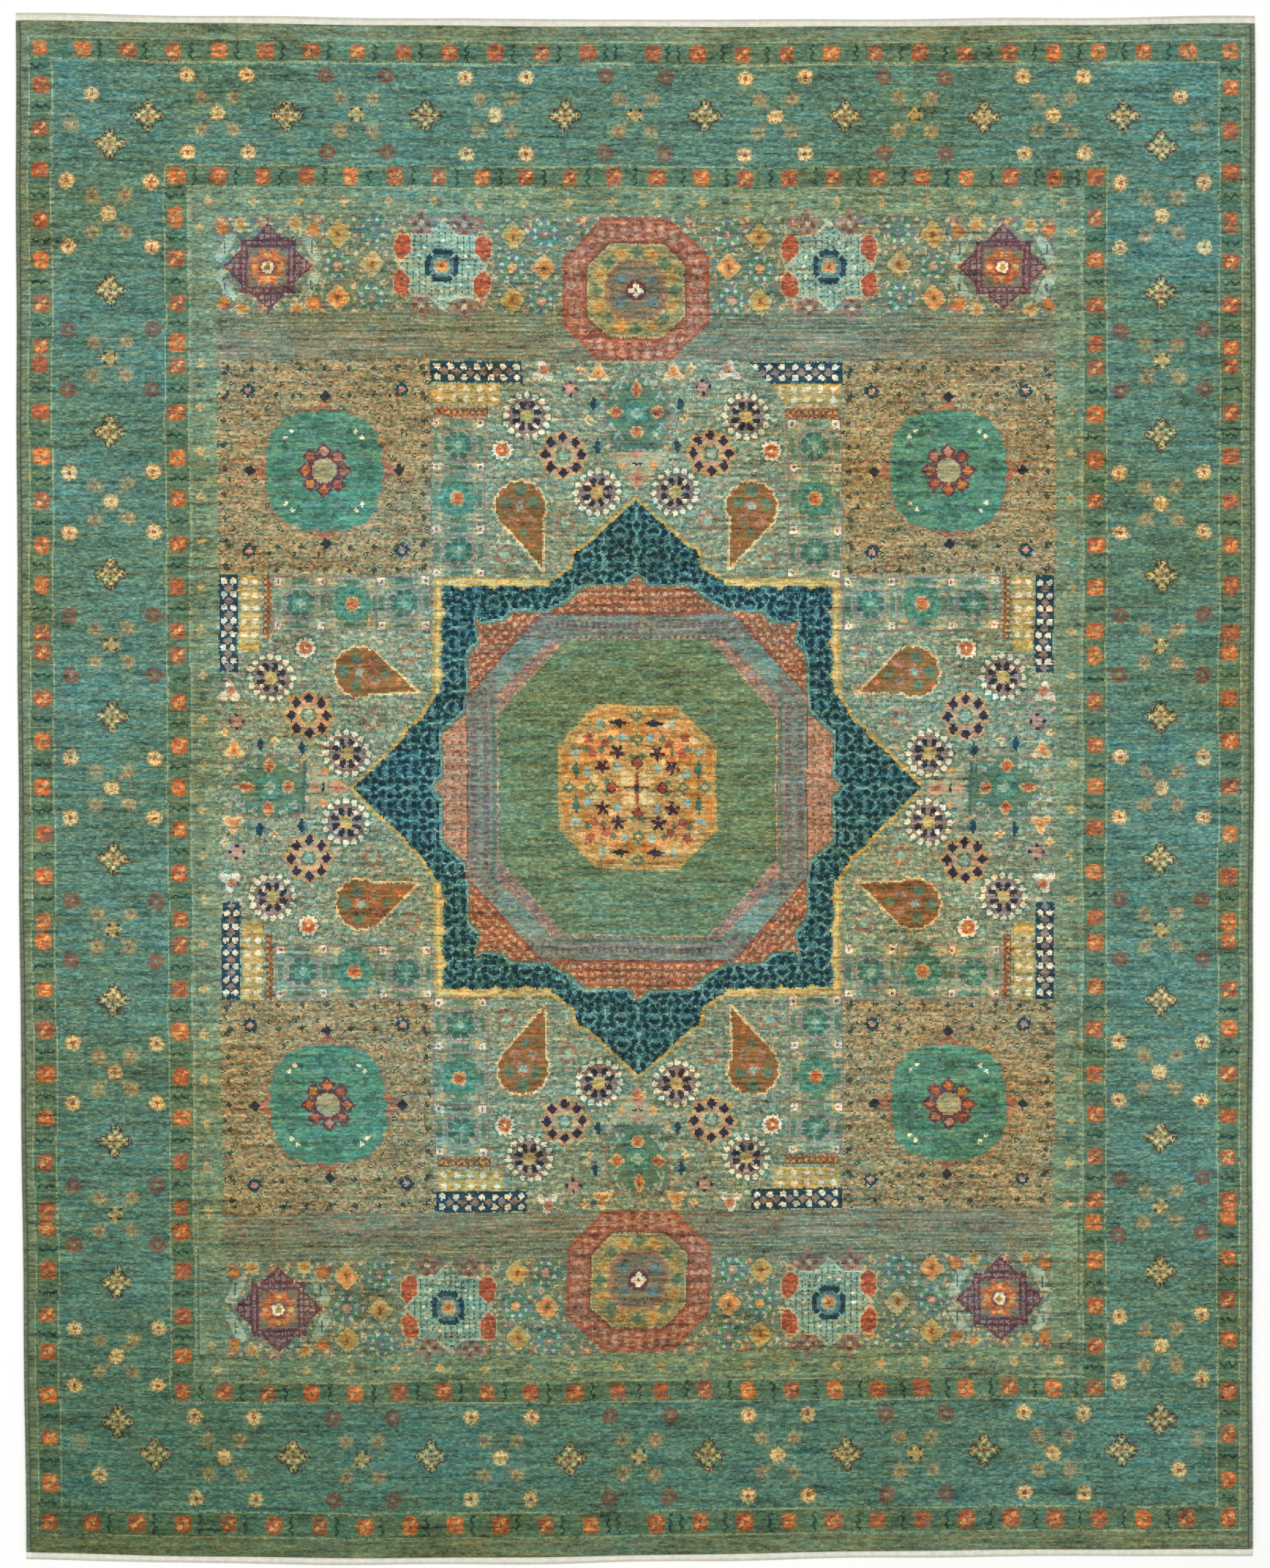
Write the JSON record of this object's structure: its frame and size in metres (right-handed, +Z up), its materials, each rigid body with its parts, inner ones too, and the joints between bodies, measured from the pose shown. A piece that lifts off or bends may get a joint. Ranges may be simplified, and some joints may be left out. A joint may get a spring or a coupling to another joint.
{
  "type": "mamluk rug",
  "caption": "Large rectangular hand-knotted wool rug with an eight-pointed star medallion, lying flat, with overcast sides and woven end strips.",
  "frame": {"origin": "centre of the rug's underside, on the floor", "axes": "+X across the rug, towards its right side seen from above; +Y along its length, towards the top end; +Z up out of the pile"},
  "size_m": [2.4428, 3.0538, 0.009],
  "materials": {
    "pile_wool": "matte",
    "edge_wool": "matte",
    "end_cotton": "matte"
  },
  "bodies": {
    "root": {"knotted_body": "pile_wool", "selvedge_left": "edge_wool", "selvedge_right": "edge_wool", "end_strip_top": "end_cotton", "end_strip_bottom": "end_cotton"}
  },
  "joints": []
}
